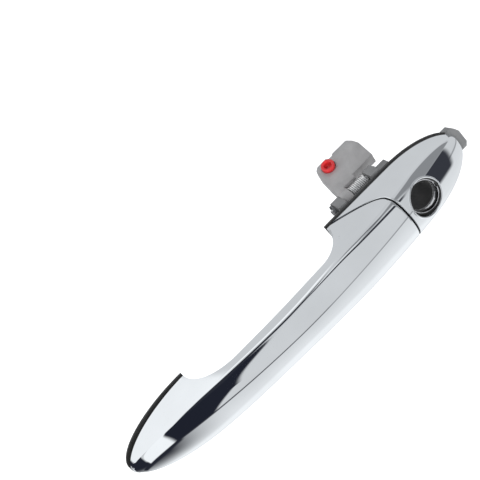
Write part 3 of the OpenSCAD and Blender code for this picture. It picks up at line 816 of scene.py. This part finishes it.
def wire_mesh(name, path, radius, sides=14):
    """A round wire along a path of points, in millimetres."""
    curve = bpy.data.curves.new(name, "CURVE")
    curve.dimensions = "3D"
    curve.bevel_depth = radius * MM
    curve.bevel_resolution = sides // 4
    curve.use_fill_caps = True
    line = curve.splines.new("POLY")
    line.points.add(len(path) - 1)
    for point, place in zip(line.points, path):
        point.co = (*(v * MM for v in place), 1)
    holder = bpy.data.objects.new(name, curve)
    bpy.context.scene.collection.objects.link(holder)
    bpy.context.view_layer.update()
    data = bpy.data.meshes.new_from_object(holder.evaluated_get(bpy.context.evaluated_depsgraph_get()))
    bpy.data.objects.remove(holder)
    return data


def torsion_coil():
    """Close coils round the crank's pin."""
    centre_y = (SPRING_LOW[1] + SPRING_HIGH[1]) / 2
    centre_z = (SPRING_LOW[2] + SPRING_HIGH[2]) / 2
    coil_r = (SPRING_HIGH[2] - SPRING_LOW[2]) / 2 - WIRE_R
    start_x, end_x = SPRING_LOW[0] + WIRE_R, SPRING_HIGH[0] - WIRE_R
    steps = COIL_TURNS * STEPS_PER_TURN
    path = []
    for i in range(steps + 1):
        angle = 2 * math.pi * i / STEPS_PER_TURN
        path.append((mix(start_x, end_x, i / steps),
                     centre_y + coil_r * math.cos(angle), centre_z + coil_r * math.sin(angle)))
    return path


spring_data = wire_mesh("torsion_spring", torsion_coil(), WIRE_R)
shade(spring_data, 60)
add_object("torsion_spring_coil", spring_data, BODY_OF["torsion_spring"], SPRING_STEEL,
           ["torsion_spring"])


# ---------------------------------------------------------------- studio

def linear(level):
    """A display level as a linear one."""
    return ((level + 0.055) / 1.055) ** 2.4


class Studio(Nodes):
    """The world as a studio of soft boxes and black cards, painted by direction.
    The chrome mirrors it. Angles are in degrees; azimuth 0 is straight in front of the handle."""

    def __init__(self):
        self.world = bpy.data.worlds.new("studio")
        bpy.context.scene.world = self.world
        self.world.use_nodes = True
        self.tree = self.world.node_tree
        self.tree.nodes.clear()
        self.direction = self.add("ShaderNodeTexCoord").outputs["Generated"]
        split = self.add("ShaderNodeSeparateXYZ")
        self.link(self.direction, split.inputs[0])
        x, y, z = split.outputs
        toward = self.maths("MULTIPLY", y, -1.0)
        self.azimuth = self.degrees(self.maths("ARCTAN2", x, toward))
        self.elevation = self.degrees(self.maths("ARCSINE", z))
        self.pitch = self.degrees(self.maths("ARCTAN2", z, toward))
        self.yaw = self.degrees(self.maths("ARCSINE", x))
        self.level = None

    def maths(self, operation, one, other=None):
        node = self.add("ShaderNodeMath", operation=operation)
        for socket, value in zip(node.inputs, (one, other)):
            if hasattr(value, "is_linked"):
                self.link(value, socket)
            elif value is not None:
                socket.default_value = value
        return node.outputs[0]

    def degrees(self, angle):
        return self.maths("MULTIPLY", angle, 180 / math.pi)

    def above(self, angle, edge, soft):
        """1 above an edge, 0 below it, blurred over soft degrees."""
        node = self.add("ShaderNodeMapRange", interpolation_type="SMOOTHSTEP")
        node.inputs["From Min"].default_value = edge - soft / 2
        node.inputs["From Max"].default_value = edge + soft / 2
        self.link(angle, node.inputs["Value"])
        return node.outputs["Result"]

    def below(self, angle, edge, soft):
        return self.maths("SUBTRACT", 1.0, self.above(angle, edge, soft))

    def between(self, angle, low, high, soft_low, soft_high=None):
        """1 between two edges."""
        over_low = self.above(angle, low, soft_low)
        under_high = self.below(angle, high, soft_high or soft_low)
        return self.maths("MULTIPLY", over_low, under_high)

    def bent(self, angle, by, slope, curve):
        """angle less slope * by + curve * by squared, for an edge that leans or curves."""
        lean = self.maths("ADD", self.maths("MULTIPLY", by, curve), slope)
        return self.maths("SUBTRACT", angle, self.maths("MULTIPLY", lean, by))

    def outside(self, azimuth, elevation, radius, soft):
        """1 beyond an angle from a direction."""
        a, e = math.radians(azimuth), math.radians(elevation)
        node = self.add("ShaderNodeVectorMath", operation="DOT_PRODUCT")
        self.link(self.direction, node.inputs[0])
        flat = math.cos(e)
        node.inputs[1].default_value = (math.sin(a) * flat, -math.cos(a) * flat, math.sin(e))
        return self.above(self.degrees(self.maths("ARCCOSINE", node.outputs["Value"])), radius, soft)

    def disc(self, azimuth, elevation, radius, soft):
        return self.maths("SUBTRACT", 1.0, self.outside(azimuth, elevation, radius, soft))

    def card(self, level, *shares):
        """Lays a card of a display level over what is painted so far."""
        share = shares[0]
        for other in shares[1:]:
            share = self.maths("MULTIPLY", share, other)
        self.level = self.mixed(share, self.level, linear(level), kind="FLOAT")

    def finish(self, dark, light):
        """Tints the painted level from dark to light and lights the world with it."""
        background = self.add("ShaderNodeBackground")
        self.link(self.mixed(self.level, dark, light), background.inputs["Color"])
        out = self.add("ShaderNodeOutputWorld")
        self.link(background.outputs[0], out.inputs[0])


def paint_studio():
    s = Studio()
    az, el, pitch, yaw = s.azimuth, s.elevation, s.pitch, s.yaw
    # the pale floor, brightest straight below, with a dark corner on the left
    s.level = s.span(el, -22, -50, linear(0.86), linear(0.92))
    s.card(1.0, s.above(s.maths("MULTIPLY", el, -1.0), 62, 18))
    s.card(0.12, s.between(az, -138, -32, 28), s.above(el, -45, 40))
    # the pale room above it, and the darker line where they meet
    s.card(0.82, s.above(el, -22.5, 1.5))
    s.card(0.62, s.between(el, -24, -21.5, 1.2))
    s.card(0.3, s.between(az, -40, 6, 3, 30), s.between(el, -23.5, -19, 1.5))
    # round the tip of the handle: white above, and a round black card at its side
    tip_card = (-118, -12, 49, 4)
    s.card(0.95, s.between(az, -180, -60, 4), s.above(el, 25, 6))
    s.card(0.14, s.disc(*tip_card), s.above(el, -34, 10), s.above(az, -158, 10))
    # in front: a soft box on the left, a black card with bent sides, the main light on the right
    left_side = s.bent(az, el, -0.13, -0.0042)
    upper_right = s.above(s.bent(az, el, 0.07, 0.0014), -12, 2)
    lower_right = s.maths("MULTIPLY", s.above(s.bent(az, el, 0.35, 0), -13, 2), s.below(el, -1, 2))
    right_side = s.maths("MAXIMUM", upper_right, lower_right)
    leaning = s.bent(el, az, 0.31, 0)
    s.card(0.15, s.between(az, -100, -34, 8, 3), s.between(leaning, -15, -8, 4, 2))
    s.card(1.0, s.between(az, -66, -34, 3), s.above(leaning, -8.9, 2), s.below(el, 60, 8),
           s.outside(*tip_card))
    s.card(0.13, s.above(left_side, -38, 3), s.below(az, 10, 4), s.between(el, -22, 84, 1.5, 8))
    s.card(0.84, right_side, s.below(az, 31, 2), s.between(el, -21, 84, 1.5, 6))
    # towards the rear: a dark card low down and a grey one over it
    s.card(0.22, s.between(az, 41, 70, 3, 10), s.between(el, -32, 2, 6, 4))
    s.card(0.55, s.between(az, 36, 95, 4, 8), s.between(el, 2, 64, 4, 8))
    # overhead: the ceiling's edge, then a black strip that bends down to the rear
    s.card(0.8, s.between(pitch, 84, 108, 6), s.above(yaw, 4, 2))
    s.card(0.17, s.above(s.bent(pitch, yaw, 3.5, 0), 86, 4),
           s.below(s.bent(pitch, yaw, 1.9, 0), 111, 6), s.between(yaw, -24, 5, 6, 2),
           s.above(pitch, 56, 8))
    # three narrow strips that the cap mirrors: white, black and grey
    s.card(0.93, s.between(s.bent(pitch, yaw, -3.4, 0), 117, 124, 2), s.between(yaw, 4, 15, 2, 4))
    s.card(0.2, s.between(s.bent(pitch, yaw, -3.75, 0.0313), 108.5, 117.5, 2),
           s.between(yaw, 2, 31, 2, 4))
    s.card(0.45, s.between(s.bent(pitch, yaw, -3.45, 0), 129.5, 136, 2), s.between(yaw, 8, 20, 4, 3))
    # the wall behind, white on the left and paler grey on the right
    behind = s.above(s.bent(pitch, s.maths("MINIMUM", yaw, 5.0), 1.9, 0), 113, 6)
    s.card(0.98, behind, s.between(pitch, 60, 152, 5, 12), s.below(yaw, 1.2, 2))
    s.card(0.82, behind, s.between(pitch, 60, 152, 5, 12), s.above(yaw, 1.2, 2))
    s.card(1.0, s.between(pitch, 133, 152, 4, 8), s.between(yaw, -20, 5, 4, 2))
    s.finish(dark=(0.0, 0.002, 0.012, 1), light=(0.965, 0.985, 1.0, 1))


def plain(name, colour, glow):
    """A matt material that also glows white."""
    material = bpy.data.materials.new(name)
    material.use_nodes = True
    shader = material.node_tree.nodes["Principled BSDF"]
    shader.inputs["Base Color"].default_value = colour
    shader.inputs["Roughness"].default_value = 0.9
    shader.inputs["Emission Color"].default_value = (1, 1, 1, 1)
    shader.inputs["Emission Strength"].default_value = glow
    return material


def add_stage(name, data, material=None):
    """Links something that belongs to the studio and not to the handle."""
    piece = bpy.data.objects.new(name, data)
    bpy.context.scene.collection.objects.link(piece)
    if material:
        data.materials.append(material)
    return piece


def only_camera(piece):
    """Leaves a piece visible to the camera alone."""
    piece.visible_diffuse = False
    piece.visible_glossy = False
    piece.visible_transmission = False
    piece.visible_shadow = False


VIEW_AZIMUTH = -6.502
VIEW_ELEVATION = 25.496
VIEW_ROLL = -42.243
VIEW_LENS = 126.817
VIEW_DISTANCE = 0.771678
VIEW_TARGET = (-77.109, -10.0, 47.693)
LIGHT_TARGET = (-0.076, 0.0, 0.0)
FLOOR_DROP = 0.13
FLOOR_HALF = 6.0
DOME_R = 8.0


def stage_mesh(name, mesh, centre):
    """Ends a bmesh as a mesh round a centre."""
    bmesh.ops.translate(mesh, vec=centre, verts=mesh.verts)
    data = bpy.data.meshes.new(name)
    mesh.to_mesh(data)
    mesh.free()
    return data


def add_floor_and_dome():
    """A pale floor below the handle and a white dome that only the camera sees."""
    low, high = CAD_BOX
    middle = (low + high) / 2
    sheet = bmesh.new()
    bmesh.ops.create_grid(sheet, x_segments=1, y_segments=1, size=FLOOR_HALF)
    sheet = stage_mesh("floor", sheet, (middle.x, middle.y, low.z - FLOOR_DROP))
    floor = add_stage("floor", sheet, plain("floor_paint", (0.9, 0.9, 0.9, 1), 0.7))
    floor.visible_glossy = False
    ball = bmesh.new()
    bmesh.ops.create_uvsphere(ball, u_segments=48, v_segments=24, radius=DOME_R)
    ball = stage_mesh("dome", ball, middle)
    only_camera(add_stage("dome", ball, plain("dome_paint", (0, 0, 0, 1), 1.0)))


def add_light(name, place, size, power):
    """A round soft light that points at the handle's middle and shows in no mirror."""
    light = bpy.data.lights.new(name, "AREA")
    light.shape = "DISK"
    light.size = size
    light.energy = power
    lamp = add_stage(name, light)
    lamp.location = place
    lamp.rotation_mode = "QUATERNION"
    lamp.rotation_quaternion = (Vector(place) - Vector(LIGHT_TARGET)).to_track_quat("Z", "Y")
    lamp.visible_glossy = False
    lamp.visible_camera = False


def add_camera():
    """The camera looks at its target from an azimuth and elevation, and is rolled about its view."""
    azimuth, elevation, roll = (math.radians(v) for v in (VIEW_AZIMUTH, VIEW_ELEVATION, VIEW_ROLL))
    away = Vector((math.sin(azimuth) * math.cos(elevation), -math.cos(azimuth) * math.cos(elevation),
                   math.sin(elevation)))
    right = Vector((math.cos(azimuth), math.sin(azimuth), 0))
    up = away.cross(right)
    local_x = math.cos(roll) * right + math.sin(roll) * up
    local_y = -math.sin(roll) * right + math.cos(roll) * up
    turn = Matrix((local_x, local_y, away)).transposed().to_4x4()
    data = bpy.data.cameras.new("camera")
    data.sensor_width = 36
    data.lens = VIEW_LENS
    data.clip_start = 0.01
    data.clip_end = 50
    camera = bpy.data.objects.new("camera", data)
    bpy.context.scene.collection.objects.link(camera)
    camera.matrix_world = Matrix.Translation(Vector(VIEW_TARGET) * MM + away * VIEW_DISTANCE) @ turn
    bpy.context.scene.camera = camera


paint_studio()
add_floor_and_dome()
add_light("key_light", (-0.35, -1.0, 0.55), 0.4, 5)
add_light("fill_light", (0.7, 0.2, 0.8), 0.6, 0.6)
add_camera()
bpy.context.scene.view_settings.view_transform = "Standard"
